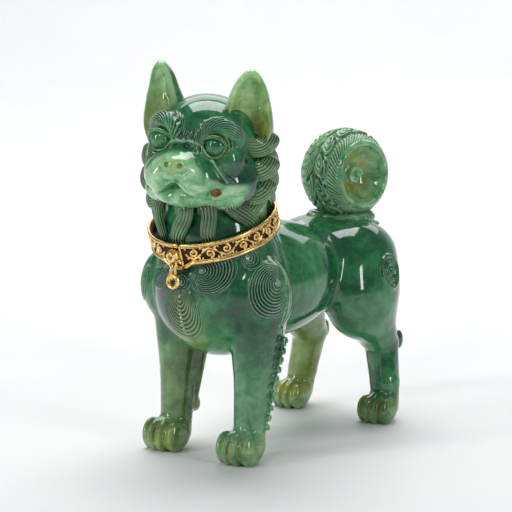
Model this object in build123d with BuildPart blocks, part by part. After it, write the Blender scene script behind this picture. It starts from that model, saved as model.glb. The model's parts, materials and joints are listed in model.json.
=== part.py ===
"""A standing guardian lion dog in polished stone, with a gilt two-part collar
that opens on a pin at the back of the neck and carries a small hanging ring."""

import os
from math import cos, radians, sin

from build123d import *

# The statue stands on z = 0, faces -Y, and +X is its own left side.

# Torso
torso_axis_z = 60.0
torso_profile = (
    (-50.5, 5.0),
    (-46.0, 14.0),
    (-38.0, 20.0),
    (-26.0, 22.5),
    (-8.0, 20.5),
    (12.0, 19.5),
    (34.0, 18.2),
    (46.0, 14.6),
    (54.0, 10.0),
    (58.0, 5.0),
)

# Front legs
front_leg_x = 17.6
front_leg_y = -32.0
front_leg_profile = ((0.0, 6.0), (10.0, 6.0), (24.0, 6.4), (38.0, 8.5), (52.0, 10.0))
front_paw_y = -38.8
front_paw_half_width = 8.6
front_paw_half_length = 9.4
front_paw_height = 9.0
# (share of the height, share of the outline) of a paw's sections, sole to top
paw_sections = ((0.0, 0.94), (0.45, 1.0), (0.8, 0.9), (1.0, 0.62))
shoulder_x = 17.0
shoulder_y = -26.5
shoulder_z = 58.0
shoulder_radius = 14.0
shoulder_half_height = 18.0

# Hind legs
hind_leg_x = 20.0
hind_leg_y = 46.0
hind_leg_profile = ((0.0, 5.6), (8.0, 5.4), (20.0, 5.4), (32.0, 6.6), (42.0, 8.0))
hind_paw_y = 41.2
hind_paw_half_width = 7.4
hind_paw_half_length = 8.8
hind_paw_height = 8.0
thigh_x = 16.5
thigh_y = 38.5
thigh_z = 46.0
thigh_radius = 12.5
thigh_half_height = 19.0

# Collar
collar_centre = (0.0, -32.3, 82.0)
collar_tilt = 18.0
band_inner_radius = 21.3
band_outer_radius = 23.0
band_half_height = 3.2
rim_radius = 22.4
rim_wire_radius = 0.5
rim_height = 3.72
closure_x = 2.4
closure_gap = 0.3
half_space_reach = 60.0
half_space_half_height = 10.0
clasp_slot_inner = 21.75
clasp_slot_outer = 22.6
clasp_slot_half_height = 1.5
clasp_slot_end_x = -1.2
clasp_slot_overrun = 1.0
clasp_window_y = -22.0
clasp_window_depth = 8.0
tongue_inner = 21.95
tongue_outer = 22.35
tongue_half_height = 1.25
tongue_tip_x = -0.6
hinge_radius_from_axis = 24.5
knuckle_radius = 1.2
knuckle_bore_radius = 0.55
pin_radius = 0.5
knuckle_half_height = 3.2
middle_knuckle_half_height = 1.1
knuckle_gap = 0.15
knuckle_leaf_gap = 0.1
knuckle_leaf_length = 2.2
pin_fit_gap = 0.005

# Neck, inside the collar
neck_radius = 20.6
neck_below = 14.0
neck_above = 12.0

# Head, turned to the statue's own left
head_centre = (0.0, -37.3, 110.0)
head_turn = 13.6
head_roll = 2.8
head_radius = 19.4
# (start, reach, height, half width, half height) of the muzzle, nose and chin
face_parts = (
    (6.0, 24.0, -8.5, 14.0, 9.5),
    (14.0, 26.6, -3.5, 5.0, 3.6),
    (8.0, 19.5, -16.5, 9.0, 4.0),
)
face_part_taper = 0.88
eye_spread = 11.0
eye_forward = 14.6
eye_height = 4.3
eye_radius = 3.2
eye_pocket_gap = 0.04

# Ears and mane, in the head's own frame
ear_spread = 17.0
ear_height = 15.2
ear_half_width = 7.4
ear_half_height = 13.0
ear_thickness = 6.0
ear_back = 4.0
ear_dish_half_width = 4.8
ear_dish_half_height = 9.5
ear_dish_depth = 3.0
mane_tufts = ((20.5, 1.5, 5.0), (21.5, -6.0, 5.0), (20.8, -13.5, 5.0), (17.0, -19.0, 4.6))
mane_front = 2.0
mane_back = 10.0

# Tail
tail_centre = (0.0, 47.2, 91.6)
tail_radius = 16.3
tail_mouth_x = 9.8
tail_mouth_radius = 12.2
tail_hollow_floor_x = 0.0
tail_floor_radius = 5.0
tail_knob_radius = 2.3
tail_knob_top_x = 5.0
tail_knob_top_radius = 1.84
seat_y = 43.0
seat_radius = 11.7
seat_bottom_z = 68.0
seat_top_z = 79.5
seat_lean = 6.0
seat_gap = 0.01

# Boss, bail and ring
boss_radius_from_axis = 23.7
boss_radius = 2.2
boss_drop = 0.3
boss_ball_turn = (90.0, 0.0, 0.0)
boss_seat_gap = 0.02
boss_cut_width = 12.0
boss_cut_depth = 10.0
pendant_y = -54.9
eyelet_z = 71.5
eyelet_major = 1.35
eyelet_wire = 0.45
bail_top_z = 71.11
bail_bottom_z = 66.14
bail_arc_radius = 1.25
bail_wire = 0.45
ring_major = 2.05
ring_wire = 0.7
ring_top_gap = 0.06

os.makedirs("parts", exist_ok=True)

collar_plane = Plane(
    origin=collar_centre,
    x_dir=(1, 0, 0),
    z_dir=(0, -sin(radians(collar_tilt)), cos(radians(collar_tilt))),
)
collar_side_plane = Plane(
    origin=collar_centre, x_dir=(1, 0, 0), z_dir=-collar_plane.y_dir
)
turn = radians(head_turn)
roll = radians(head_roll)
head_plane = Plane(
    origin=head_centre,
    x_dir=(cos(turn) * cos(roll), sin(turn) * cos(roll), -sin(roll)),
    z_dir=(cos(turn) * sin(roll), sin(turn) * sin(roll), cos(roll)),
)
head_face_plane = Plane(
    origin=head_centre,
    x_dir=head_plane.x_dir,
    z_dir=-head_plane.y_dir,
)


def turned(section, points):
    """A solid of revolution about the section plane's own upright line, from
    (place along the line, radius) points."""
    with BuildPart() as solid:
        with BuildSketch(section):
            with BuildLine():
                Line((0, points[0][0]), (points[0][1], points[0][0]))
                Spline(*[(radius, place) for place, radius in points])
                Line((points[-1][1], points[-1][0]), (0, points[-1][0]))
                Line((0, points[-1][0]), (0, points[0][0]))
            make_face()
        revolve(axis=Axis(section.origin, section.y_dir))
    return solid.part


def spheroid(centre, radius, half_height):
    """A ball stretched along the vertical."""
    section = Plane(origin=centre, x_dir=(0, -1, 0), z_dir=(-1, 0, 0))
    with BuildPart() as solid:
        with BuildSketch(section):
            with BuildLine():
                EllipticalCenterArc(
                    (0, 0), radius, half_height, start_angle=-90, arc_size=180
                )
                Line((0, half_height), (0, -half_height))
            make_face()
        revolve(axis=Axis(section.origin, section.y_dir))
    return solid.part


def upright_at(x, y):
    """The plane whose upright line stands at x, y on the ground."""
    return Plane(origin=(x, y, 0), x_dir=(0, 1, 0), z_dir=(1, 0, 0))


def paw(x, y, half_width, half_length, height):
    """A flat-soled paw with a rounded top."""
    with BuildPart() as solid:
        for level, share in paw_sections:
            with BuildSketch(Plane.XY.offset(height * level)):
                with Locations((x, y)):
                    Ellipse(half_width * share, half_length * share)
        loft()
    return solid.part


def save(piece, label):
    """Labels one piece and writes it out."""
    piece.part.label = label
    export_step(piece.part, f"parts/{label}.step")


# Torso: chest, barrel and rump turned about one lengthwise axis
lengthwise = Plane(origin=(0, 0, torso_axis_z), x_dir=(0, 0, 1), z_dir=(-1, 0, 0))
trunk = turned(lengthwise, torso_profile)
with BuildPart() as torso:
    add(trunk)
save(torso, "torso")

# Head: skull, muzzle and nose
with BuildPart() as head:
    with Locations(head_plane.location):
        Sphere(head_radius)
    for start, reach, height, half_width, half_height in face_parts:
        for forward, share in ((start, 1.0), (reach, face_part_taper)):
            with BuildSketch(head_face_plane.offset(forward)):
                with Locations((0, height)):
                    Ellipse(half_width * share, half_height * share)
        loft()
    for side in (1, -1):
        with Locations(
            head_plane.from_local_coords((side * eye_spread, -eye_forward, eye_height))
        ):
            Sphere(eye_radius + eye_pocket_gap, mode=Mode.SUBTRACT)
save(head, "head")

# Neck: the round post the collar goes about
with BuildPart() as neck:
    with BuildSketch(collar_plane.offset(-neck_below)):
        Circle(neck_radius)
    extrude(amount=neck_below + neck_above)
    add(torso.part, mode=Mode.SUBTRACT)
    add(head.part, mode=Mode.SUBTRACT)
save(neck, "neck")

for side_name, side in (("left", 1), ("right", -1)):
    # Eye: a ball seated in its pocket
    with BuildPart() as eye:
        with Locations(
            head_plane.from_local_coords((side * eye_spread, -eye_forward, eye_height))
        ):
            Sphere(eye_radius)
    save(eye, f"{side_name}_eye")

    # Ear: an upright leaf with a dished front
    with BuildPart() as ear:
        with BuildSketch(head_face_plane.offset(-ear_back)):
            with Locations((side * ear_spread, ear_height)):
                Ellipse(ear_half_width, ear_half_height)
        extrude(amount=ear_thickness)
        with BuildSketch(head_face_plane.offset(ear_thickness - ear_back)):
            with Locations((side * ear_spread, ear_height)):
                Ellipse(ear_dish_half_width, ear_dish_half_height)
        extrude(amount=-ear_dish_depth, mode=Mode.SUBTRACT)
        add(head.part, mode=Mode.SUBTRACT)
    save(ear, f"{side_name}_ear")

    # Mane: a crescent of tufts beside the cheek
    with BuildPart() as mane:
        for tuft_x, tuft_z, tuft_radius in mane_tufts:
            with BuildSketch(head_face_plane.offset(-mane_back)):
                with Locations((side * tuft_x, tuft_z)):
                    Circle(tuft_radius)
            extrude(amount=mane_back + mane_front)
        add(head.part, mode=Mode.SUBTRACT)
        add(ear.part, mode=Mode.SUBTRACT)
        add(neck.part, mode=Mode.SUBTRACT)
    save(mane, f"{side_name}_mane")

    # Front leg: shoulder, shaft and paw
    front_paw = paw(
        side * front_leg_x,
        front_paw_y,
        front_paw_half_width,
        front_paw_half_length,
        front_paw_height,
    )
    front_shaft = turned(
        upright_at(side * front_leg_x, front_leg_y), front_leg_profile
    )
    shoulder = spheroid(
        (side * shoulder_x, shoulder_y, shoulder_z),
        shoulder_radius,
        shoulder_half_height,
    )
    with BuildPart() as front_leg:
        add(front_paw)
        add(front_shaft)
        add(shoulder)
        add(torso.part, mode=Mode.SUBTRACT)
        add(neck.part, mode=Mode.SUBTRACT)
    save(front_leg, f"front_{side_name}_leg")

    # Hind leg: thigh, shaft and paw
    hind_paw = paw(
        side * hind_leg_x,
        hind_paw_y,
        hind_paw_half_width,
        hind_paw_half_length,
        hind_paw_height,
    )
    hind_shaft = turned(upright_at(side * hind_leg_x, hind_leg_y), hind_leg_profile)
    thigh = spheroid(
        (side * thigh_x, thigh_y, thigh_z), thigh_radius, thigh_half_height
    )
    with BuildPart() as hind_leg:
        add(hind_paw)
        add(hind_shaft)
        add(thigh)
        add(torso.part, mode=Mode.SUBTRACT)
    save(hind_leg, f"hind_{side_name}_leg")

# Tail: a rolled ball with a conical mouth on the statue's left and a knob inside
tail_section = Plane(origin=tail_centre, x_dir=(0, 0, 1), z_dir=(0, 1, 0))
mouth_edge_radius = (tail_radius**2 - tail_mouth_x**2) ** 0.5
with BuildPart() as tail:
    with BuildSketch(tail_section):
        with BuildLine():
            ThreePointArc(
                (0, -tail_radius), (tail_radius, 0), (mouth_edge_radius, tail_mouth_x)
            )
            Polyline(
                (mouth_edge_radius, tail_mouth_x),
                (tail_mouth_radius, tail_mouth_x),
                (tail_floor_radius, tail_hollow_floor_x),
                (tail_knob_radius, tail_hollow_floor_x),
                (tail_knob_top_radius, tail_knob_top_x),
                (0, tail_knob_top_x),
                (0, -tail_radius),
            )
        make_face()
    revolve(axis=Axis(tail_centre, (1, 0, 0)))
save(tail, "tail")

# Tail seat: the raised ring the tail sits on
with BuildPart() as tail_seat:
    seat_plane = Plane(
        origin=(0, seat_y, seat_bottom_z),
        x_dir=(1, 0, 0),
        z_dir=(0, sin(radians(seat_lean)), cos(radians(seat_lean))),
    )
    with BuildSketch(seat_plane):
        Circle(seat_radius)
    extrude(amount=seat_top_z - seat_bottom_z)
    add(torso.part, mode=Mode.SUBTRACT)
    with Locations(tail_centre):
        Sphere(tail_radius + seat_gap, mode=Mode.SUBTRACT)
save(tail_seat, "tail_seat")


def side_block(side):
    """The space one collar half may fill: its side of the closure and the hinge."""
    reach = half_space_reach
    gap = closure_gap / 2
    front_edge = closure_x + side * gap
    back_edge = side * gap
    with BuildPart() as block:
        for edge, middle_y in ((front_edge, -reach / 2), (back_edge, reach / 2)):
            with BuildSketch(collar_plane.offset(-half_space_half_height)):
                with Locations((edge + side * reach / 2, middle_y)):
                    Rectangle(reach, reach)
            extrude(amount=2 * half_space_half_height)
    return block.part


for side_name, side in (("left", 1), ("right", -1)):
    knuckles = ((-middle_knuckle_half_height, middle_knuckle_half_height),)
    if side_name == "right":
        inner_end = middle_knuckle_half_height + knuckle_gap
        knuckles = (
            (-knuckle_half_height, -inner_end),
            (inner_end, knuckle_half_height),
        )
    bore = knuckle_bore_radius if side_name == "left" else pin_radius + pin_fit_gap
    half_space = side_block(side)

    # Collar half: curved band with hinge knuckles at the back
    with BuildPart() as collar_half:
        with BuildSketch(collar_plane.offset(-band_half_height)):
            Circle(band_outer_radius)
            Circle(band_inner_radius, mode=Mode.SUBTRACT)
        extrude(amount=2 * band_half_height)
        add(half_space, mode=Mode.INTERSECT)
        for low, high in knuckles:
            with BuildSketch(collar_plane.offset(low)):
                with Locations((0, hinge_radius_from_axis)):
                    Circle(knuckle_radius)
                with Locations(
                    (
                        side * (knuckle_radius + knuckle_leaf_gap) / 2,
                        hinge_radius_from_axis - knuckle_leaf_length / 2,
                    )
                ):
                    Rectangle(knuckle_radius - knuckle_leaf_gap, knuckle_leaf_length)
            extrude(amount=high - low)
            with BuildSketch(collar_plane.offset(low)):
                with Locations((0, hinge_radius_from_axis)):
                    Circle(bore)
            extrude(amount=high - low, mode=Mode.SUBTRACT)
        if side_name == "right":
            slot_mouth_x = closure_x + clasp_slot_overrun
            with BuildSketch(collar_plane.offset(-clasp_slot_half_height)):
                Circle(clasp_slot_outer)
                Circle(clasp_slot_inner, mode=Mode.SUBTRACT)
                with Locations(((clasp_slot_end_x + slot_mouth_x) / 2, clasp_window_y)):
                    Rectangle(
                        slot_mouth_x - clasp_slot_end_x,
                        clasp_window_depth,
                        mode=Mode.INTERSECT,
                    )
            extrude(amount=2 * clasp_slot_half_height, mode=Mode.SUBTRACT)
    save(collar_half, f"collar_{side_name}")

    for level_name, level in (("upper", 1), ("lower", -1)):
        # Rim: a round wire along the band's edge
        with BuildPart() as rim:
            with BuildSketch(collar_side_plane):
                with Locations((rim_radius, level * rim_height)):
                    Circle(rim_wire_radius)
            revolve(axis=Axis(collar_plane.origin, collar_plane.z_dir))
            add(half_space, mode=Mode.INTERSECT)
        save(rim, f"{side_name}_{level_name}_rim")

# Clasp tongue: the catch on the left half that slides into the right half
tongue_root_x = closure_x + closure_gap / 2
with BuildPart() as clasp_tongue:
    with BuildSketch(collar_plane.offset(-tongue_half_height)):
        Circle(tongue_outer)
        Circle(tongue_inner, mode=Mode.SUBTRACT)
        with Locations(((tongue_tip_x + tongue_root_x) / 2, clasp_window_y)):
            Rectangle(
                tongue_root_x - tongue_tip_x, clasp_window_depth, mode=Mode.INTERSECT
            )
    extrude(amount=2 * tongue_half_height)
save(clasp_tongue, "clasp_tongue")

# Hinge pin at the back of the collar
with BuildPart() as hinge_pin:
    with BuildSketch(collar_plane.offset(-knuckle_half_height)):
        with Locations((0, hinge_radius_from_axis)):
            Circle(pin_radius)
    extrude(amount=2 * knuckle_half_height)
save(hinge_pin, "hinge_pin")

# Boss: a button on the collar's front with the eye the bail hangs from
with BuildPart() as boss:
    with Locations(
        collar_plane.from_local_coords((0, -boss_radius_from_axis, -boss_drop))
    ):
        Sphere(boss_radius, rotation=boss_ball_turn)
    with BuildSketch(collar_plane.offset(-boss_cut_width / 2)):
        with Locations(
            (0, boss_cut_depth / 2 - band_outer_radius - boss_seat_gap)
        ):
            Rectangle(boss_cut_width, boss_cut_depth)
    extrude(amount=boss_cut_width, mode=Mode.SUBTRACT)
    with BuildSketch(Plane.YZ):
        with Locations((pendant_y, eyelet_z - eyelet_major)):
            Circle(eyelet_wire)
    revolve(axis=Axis((0, pendant_y, eyelet_z), (0, 1, 0)))
save(boss, "boss")

# Bail: an oval link hanging from the boss's eye
with BuildPart() as bail:
    with BuildLine(Plane.YZ):
        upper = bail_top_z - bail_arc_radius
        lower = bail_bottom_z + bail_arc_radius
        right_edge = pendant_y + bail_arc_radius
        left_edge = pendant_y - bail_arc_radius
        Line((right_edge, lower), (right_edge, upper))
        ThreePointArc((right_edge, upper), (pendant_y, bail_top_z), (left_edge, upper))
        Line((left_edge, upper), (left_edge, lower))
        ThreePointArc(
            (left_edge, lower), (pendant_y, bail_bottom_z), (right_edge, lower)
        )
    with BuildSketch(Plane.XY.offset((upper + lower) / 2)):
        with Locations((0, right_edge)):
            Circle(bail_wire)
    sweep()
save(bail, "bail")

# Ring: hangs from the bail
with BuildPart() as ring:
    ring_z = bail_bottom_z + bail_wire + ring_wire + ring_top_gap - ring_major
    with BuildSketch(Plane.YZ):
        with Locations((pendant_y, ring_z - ring_major)):
            Circle(ring_wire)
    revolve(axis=Axis((0, pendant_y, ring_z), (0, 1, 0)))
save(ring, "ring")
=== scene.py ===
import json
import math

import bpy
import numpy as np
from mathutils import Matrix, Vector


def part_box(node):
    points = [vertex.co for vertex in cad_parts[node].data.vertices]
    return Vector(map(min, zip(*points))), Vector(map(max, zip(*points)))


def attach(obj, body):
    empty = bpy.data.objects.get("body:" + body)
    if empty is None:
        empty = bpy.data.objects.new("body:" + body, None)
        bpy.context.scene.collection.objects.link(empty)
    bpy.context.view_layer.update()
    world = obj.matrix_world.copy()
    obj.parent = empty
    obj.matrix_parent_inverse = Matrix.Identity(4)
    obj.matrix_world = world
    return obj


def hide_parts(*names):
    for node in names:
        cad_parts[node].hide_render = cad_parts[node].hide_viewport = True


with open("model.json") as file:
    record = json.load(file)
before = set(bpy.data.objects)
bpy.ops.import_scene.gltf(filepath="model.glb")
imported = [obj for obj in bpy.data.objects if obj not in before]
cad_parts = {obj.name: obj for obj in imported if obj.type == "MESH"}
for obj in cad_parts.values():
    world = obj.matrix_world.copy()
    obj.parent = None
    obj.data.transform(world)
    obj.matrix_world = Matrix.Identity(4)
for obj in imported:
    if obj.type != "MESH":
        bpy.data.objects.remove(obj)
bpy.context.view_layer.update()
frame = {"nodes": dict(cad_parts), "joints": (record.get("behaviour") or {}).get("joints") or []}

MM = 0.001
coarse = 1.0


# ---------------------------------------------------------------- small maths


def unit(vector):
    vector = np.asarray(vector, float)
    return vector / np.linalg.norm(vector)


def unit_rows(vectors):
    return vectors / np.linalg.norm(vectors, axis=1)[:, None]


def turns(count):
    """Evenly spaced angles once round a circle."""
    return np.linspace(0, 2 * math.pi, count, endpoint=False)


def side_name(side):
    return "left" if side > 0 else "right"


def smooth_min(a, b, blend):
    mix = np.clip(0.5 + 0.5 * (b - a) / blend, 0.0, 1.0)
    return b + (a - b) * mix - blend * mix * (1.0 - mix)


def smooth_step(edge_low, edge_high, value):
    t = np.clip((value - edge_low) / (edge_high - edge_low), 0.0, 1.0)
    return t * t * (3.0 - 2.0 * t)


def turn_matrix(x_degrees=0.0, y_degrees=0.0, z_degrees=0.0):
    """Rotation about X, then Y, then Z; its columns are the turned axes."""
    cx, sx = math.cos(math.radians(x_degrees)), math.sin(math.radians(x_degrees))
    cy, sy = math.cos(math.radians(y_degrees)), math.sin(math.radians(y_degrees))
    cz, sz = math.cos(math.radians(z_degrees)), math.sin(math.radians(z_degrees))
    about_x = np.array([[1, 0, 0], [0, cx, -sx], [0, sx, cx]])
    about_y = np.array([[cy, 0, sy], [0, 1, 0], [-sy, 0, cy]])
    about_z = np.array([[cz, -sz, 0], [sz, cz, 0], [0, 0, 1]])
    return about_z @ about_y @ about_x


def smooth_path(points, count):
    """A Catmull-Rom line through the points, evenly sampled."""
    points = np.asarray(points, float)
    padded = np.vstack([2 * points[0] - points[1], points, 2 * points[-1] - points[-2]])
    line = []
    for i in range(len(points) - 1):
        a, b, c, d = padded[i : i + 4]
        for t in np.linspace(0.0, 1.0, 24, endpoint=False):
            line.append(
                0.5
                * (
                    2 * b
                    + (c - a) * t
                    + (2 * a - 5 * b + 4 * c - d) * t**2
                    + (3 * b - a - 3 * c + d) * t**3
                )
            )
    line.append(points[-1])
    line = np.array(line)
    length = np.concatenate([[0], np.cumsum(np.linalg.norm(np.diff(line, axis=0), axis=1))])
    wanted = np.linspace(0, length[-1], count)
    return np.stack([np.interp(wanted, length, line[:, i]) for i in range(line.shape[1])], 1)


# ---------------------------------------------------------------- clay


class Clay:
    """A block of clay in mm: signed distances on a grid, added to and carved."""

    def __init__(self, low, high, step):
        self.step = step * coarse
        self.low = np.array(low, float)
        counts = np.ceil((np.array(high) - self.low) / self.step).astype(int) + 1
        self.axes = [
            (self.low[i] + self.step * np.arange(counts[i])).astype(np.float32)
            for i in range(3)
        ]
        self.field = np.full(counts, 8.0, np.float32)

    def _window(self, low, high, margin):
        window = tuple(
            slice(
                max(int(np.searchsorted(self.axes[i], low[i] - margin)), 0),
                int(np.searchsorted(self.axes[i], high[i] + margin)),
            )
            for i in range(3)
        )
        x = self.axes[0][window[0]][:, None, None]
        y = self.axes[1][window[1]][None, :, None]
        z = self.axes[2][window[2]][None, None, :]
        return window, x, y, z

    def add(self, shape, blend=1.0):
        distance, low, high = shape
        window, x, y, z = self._window(low, high, 1.5 * blend + 4.0)
        old = self.field[window]
        self.field[window] = smooth_min(old, distance(x, y, z), blend)

    def carve(self, shape, blend=0.4):
        distance, low, high = shape
        window, x, y, z = self._window(low, high, 1.5 * blend + 3 * self.step)
        old = self.field[window]
        self.field[window] = -smooth_min(-old, distance(x, y, z), blend)

    def sample(self, points):
        """The distance at any points, read between the grid's values."""
        place = (points - self.low) / self.step
        top = np.array(self.field.shape) - 2
        cell = np.clip(np.floor(place).astype(int), 0, top)
        part = np.clip(place - cell, 0.0, 1.0)
        total = np.zeros(len(points))
        for corner in np.ndindex(2, 2, 2):
            weight = np.prod(np.where(corner, part, 1.0 - part), axis=1)
            i, j, k = (cell + corner).T
            total += weight * self.field[i, j, k]
        return total

    def slope(self, points):
        """The outward direction at the points."""
        reach = 0.7 * self.step
        slopes = np.stack(
            [
                self.sample(points + reach * axis) - self.sample(points - reach * axis)
                for axis in np.eye(3)
            ],
            1,
        )
        return slopes / (2 * reach)

    def settle(self, points, rounds=3, reach=1.0):
        """Moves points onto the clay's surface."""
        for _ in range(rounds):
            slopes = self.slope(points)
            steep = np.maximum((slopes**2).sum(1), 0.05)
            move = np.clip(self.sample(points) / steep, -reach, reach)
            points = points - slopes * move[:, None]
        return points

    def skin(self):
        """The surface as points and quads, one point in each cell it crosses."""
        field = self.field
        inside = field < 0
        corners = np.zeros(np.array(field.shape) - 1, np.int8)
        for corner in np.ndindex(2, 2, 2):
            window = tuple(
                slice(corner[i], field.shape[i] - 1 + corner[i]) for i in range(3)
            )
            corners += inside[window]
        cells = np.argwhere((corners > 0) & (corners < 8))
        number = np.full(corners.shape, -1, np.int64)
        number[tuple(cells.T)] = np.arange(len(cells))
        total = np.zeros((len(cells), 3))
        count = np.zeros(len(cells))
        for axis in range(3):
            along = np.eye(3, dtype=int)[axis]
            others = [i for i in range(3) if i != axis]
            for first, second in np.ndindex(2, 2):
                start = cells.copy()
                start[:, others[0]] += first
                start[:, others[1]] += second
                a = field[tuple(start.T)]
                b = field[tuple((start + along).T)]
                crossed = (a < 0) != (b < 0)
                share = np.where(crossed, a / np.where(crossed, a - b, 1.0), 0.0)
                total += np.where(
                    crossed[:, None], start + share[:, None] * along, 0.0
                )
                count += crossed
        points = self.low + self.step * total / count[:, None]
        quads = []
        for axis in range(3):
            head = [slice(1, -1)] * 3
            head[axis] = slice(0, -1)
            tail = list(head)
            tail[axis] = slice(1, None)
            a, b = inside[tuple(head)], inside[tuple(tail)]
            one, two = (axis + 1) % 3, (axis + 2) % 3
            for flip, chosen in ((False, a & ~b), (True, ~a & b)):
                edges = np.argwhere(chosen)
                base = edges + np.array([0 if i == axis else 1 for i in range(3)])
                ring = []
                for shift_one, shift_two in ((1, 1), (0, 1), (0, 0), (1, 0)):
                    cell = base.copy()
                    cell[:, one] -= shift_one
                    cell[:, two] -= shift_two
                    ring.append(number[tuple(cell.T)])
                ring = np.stack(ring, 1)
                quads.append(ring[:, ::-1] if flip else ring)
        points = self.settle(points, rounds=2, reach=0.4 * self.step)
        return points, np.concatenate(quads)


# ---------------------------------------------------------------- shapes


def egg(centre, radii):
    """A stretched ball."""
    centre, radii = np.asarray(centre, float), np.asarray(radii, float)

    def distance(x, y, z):
        u, v, w = x - centre[0], y - centre[1], z - centre[2]
        near = (u / radii[0]) ** 2 + (v / radii[1]) ** 2 + (w / radii[2]) ** 2
        far = (u / radii[0] ** 2) ** 2 + (v / radii[1] ** 2) ** 2 + (w / radii[2] ** 2) ** 2
        near, far = np.sqrt(near), np.sqrt(far)
        return (near * (near - 1.0) / np.maximum(far, 1e-6)).astype(np.float32)

    return distance, centre - radii, centre + radii


def limb(start, end, start_radius, end_radius=None):
    """A rod with round ends that may taper."""
    end_radius = start_radius if end_radius is None else end_radius
    start, end = np.asarray(start, float), np.asarray(end, float)
    along = end - start
    length = float(along @ along)

    def distance(x, y, z):
        x, y, z = x - start[0], y - start[1], z - start[2]
        share = np.clip((x * along[0] + y * along[1] + z * along[2]) / length, 0.0, 1.0)
        gap = np.sqrt(
            (x - share * along[0]) ** 2
            + (y - share * along[1]) ** 2
            + (z - share * along[2]) ** 2
        )
        return (gap - start_radius - share * (end_radius - start_radius)).astype(
            np.float32
        )

    most = max(start_radius, end_radius)
    return distance, np.minimum(start, end) - most, np.maximum(start, end) + most


def about_axis(centre, normal, x, y, z):
    """How far each place is along an axis, and how far out from it."""
    x, y, z = x - centre[0], y - centre[1], z - centre[2]
    along = x * normal[0] + y * normal[1] + z * normal[2]
    return along, np.sqrt(np.maximum(x * x + y * y + z * z - along**2, 0.0))


def drum(centre, normal, radius, half_height, soft=0.5):
    """A short round post with softened edges."""
    centre, normal = np.asarray(centre, float), unit(normal)

    def distance(x, y, z):
        along, across = about_axis(centre, normal, x, y, z)
        side = across - radius + soft
        top = np.abs(along) - half_height + soft
        outside = np.sqrt(np.maximum(side, 0) ** 2 + np.maximum(top, 0) ** 2)
        return (outside + np.minimum(np.maximum(side, top), 0) - soft).astype(np.float32)

    reach = radius + half_height
    return distance, centre - reach, centre + reach


def hoop(centre, normal, radius, thickness):
    """A round ring of round section."""
    centre, normal = np.asarray(centre, float), unit(normal)

    def distance(x, y, z):
        along, across = about_axis(centre, normal, x, y, z)
        return (np.sqrt((across - radius) ** 2 + along**2) - thickness).astype(np.float32)

    reach = radius + thickness
    return distance, centre - reach, centre + reach


# ---------------------------------------------------------------- meshes


def make_mesh(name, points, quads, material, marks=None):
    """A Blender object from mm points, with per-point marks for its material."""
    mesh = bpy.data.meshes.new(name)
    points = np.asarray(points, float)
    quads = np.asarray(quads)
    mesh.vertices.add(len(points))
    mesh.vertices.foreach_set("co", (points * MM).astype(np.float32).ravel())
    corners = quads.shape[1]
    mesh.loops.add(quads.size)
    mesh.loops.foreach_set("vertex_index", quads.astype(np.int32).ravel())
    mesh.polygons.add(len(quads))
    mesh.polygons.foreach_set(
        "loop_start", np.arange(0, quads.size, corners, dtype=np.int32)
    )
    mesh.polygons.foreach_set("use_smooth", np.ones(len(quads), bool))
    mesh.update(calc_edges=True)
    mesh.validate()
    for mark, values in (marks or {}).items():
        layer = mesh.attributes.new(mark, "FLOAT", "POINT")
        layer.data.foreach_set("value", np.asarray(values, np.float32))
    mesh.materials.append(material)
    piece = bpy.data.objects.new(name, mesh)
    bpy.context.collection.objects.link(piece)
    return piece


def grid_quads(rows, columns, wrap=False):
    """Quads of a rows by columns sheet of points."""
    last = columns if wrap else columns - 1
    r, c = np.meshgrid(np.arange(rows - 1), np.arange(last), indexing="ij")
    here, below = r * columns, (r + 1) * columns
    right = (c + 1) % columns
    return np.stack([here + c, here + right, below + right, below + c], -1).reshape(-1, 4)


def wire(path, radius, around=8, count=24):
    """A round wire along a path. The radius may be a list that changes along it."""
    path = smooth_path(path, count)
    share = np.linspace(0.0, 1.0, len(path))
    radius = np.interp(share, np.linspace(0, 1, np.size(radius)), np.atleast_1d(radius))
    near_end = np.minimum(share, 1 - share) * (len(path) - 1) / 2.0
    radius = radius * np.sqrt(1.0 - (1.0 - np.clip(near_end, 0.02, 1.0)) ** 2)
    ahead = unit_rows(np.gradient(path, axis=0))
    out = unit_rows(np.cross(ahead, (0.31, 0.52, 0.79)))
    for i in range(1, len(path)):
        turned = out[i - 1] - ahead[i] * (out[i - 1] @ ahead[i])
        out[i] = turned / np.linalg.norm(turned)
    side = np.cross(ahead, out)
    angle = turns(around)
    ring = (
        np.cos(angle)[None, :, None] * side[:, None, :]
        + np.sin(angle)[None, :, None] * out[:, None, :]
    )
    points = path[:, None, :] + ring * radius[:, None, None]
    return points.reshape(-1, 3), grid_quads(len(path), around, wrap=True), {}


lock_rows = 46


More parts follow.
